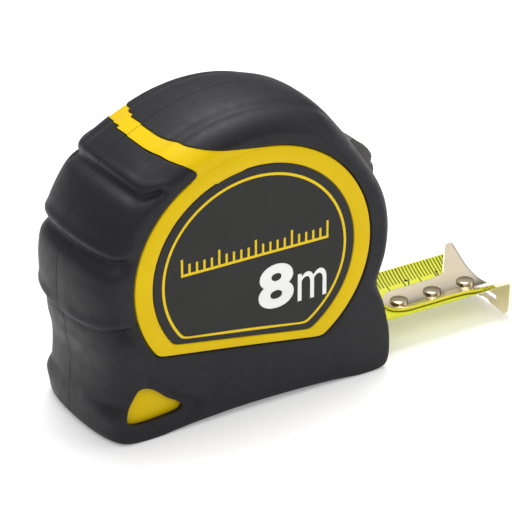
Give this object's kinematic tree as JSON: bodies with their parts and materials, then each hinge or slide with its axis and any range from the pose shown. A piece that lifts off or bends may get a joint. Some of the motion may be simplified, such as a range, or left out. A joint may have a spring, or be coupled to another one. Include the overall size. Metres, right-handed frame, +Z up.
{
  "type": "tape measure",
  "caption": "Pocket tape measure: rubber-gripped two-part case, cupped steel blade drawn part way out, riveted end hook, sliding blade lock and sprung belt clip.",
  "frame": {"origin": "on the flat base, straight under the axis of the reel", "axes": "+X out of the mouth along the blade, +Y towards the belt clip side, +Z up"},
  "size_m": [0.1238, 0.0439, 0.0775],
  "materials": {
    "yellow_plastic": "moulded ABS with a soft sheen",
    "grip_rubber": "matte overmoulded elastomer with fine grain",
    "label": "satin printed film",
    "zinc_steel": "zinc plated",
    "grey_plastic": "moulded",
    "clip_steel": "satin nickel plated spring steel",
    "spring_steel": "oiled spring steel",
    "blade_lacquer": "lacquered yellow-green steel with printed scale",
    "nickel": "nickel plated, warm tone",
    "black_plastic": "moulded with a soft grain"
  },
  "bodies": {
    "case": {"case_shell_right": "yellow_plastic", "case_shell_left": "yellow_plastic", "grip_right": "grip_rubber", "grip_left": "grip_rubber", "label_right": "label", "label_left": "label", "case_screw_1": "zinc_steel", "case_screw_2": "zinc_steel", "case_screw_3": "zinc_steel", "case_screw_4": "zinc_steel", "mouth_shoe": "grey_plastic", "belt_clip_root": "clip_steel", "belt_clip_screw": "zinc_steel", "centre_post": "grey_plastic", "mainspring": "spring_steel"},
    "reel": {"reel_drum": "grey_plastic", "reel_cover": "grey_plastic", "blade_coil": "blade_lacquer"},
    "blade": {"blade_strip": "blade_lacquer", "rivet_1": "nickel", "rivet_2": "nickel", "rivet_3": "nickel"},
    "hook": {"hook": "nickel"},
    "lock": {"lock_button": "black_plastic", "brake_pad": "grip_rubber"},
    "clip_leaf": {"belt_clip_leaf": "clip_steel"}
  },
  "joints": [
    {"name": "reel_spin", "type": "hinge", "parent": "case", "child": "reel", "pos_m": [0, 0, 0.0385], "axis": [0, -1, 0], "range_deg": [-85, 61]},
    {"name": "blade_slide", "type": "slide", "parent": "case", "child": "blade", "axis": [1, 0, 0], "range_m": [-0.0392, 0.0281]},
    {"name": "hook_play", "type": "slide", "parent": "blade", "child": "hook", "axis": [1, 0, 0], "range_m": [-0.001, 0]},
    {"name": "lock_slide", "type": "hinge", "parent": "case", "child": "lock", "pos_m": [0, 0, 0.0385], "axis": [0, 1, 0], "range_deg": [0, 10]},
    {"name": "belt_clip_flex", "type": "hinge", "parent": "case", "child": "clip_leaf", "pos_m": [0, 0.02205, 0.061], "axis": [1, 0, 0], "range_deg": [0, 6], "stiffness_Nm_per_rad": 3}
  ],
  "couplings": [
    {"joint": "blade_slide", "follows": "reel_spin", "m_per_rad": 0.0263}
  ]
}
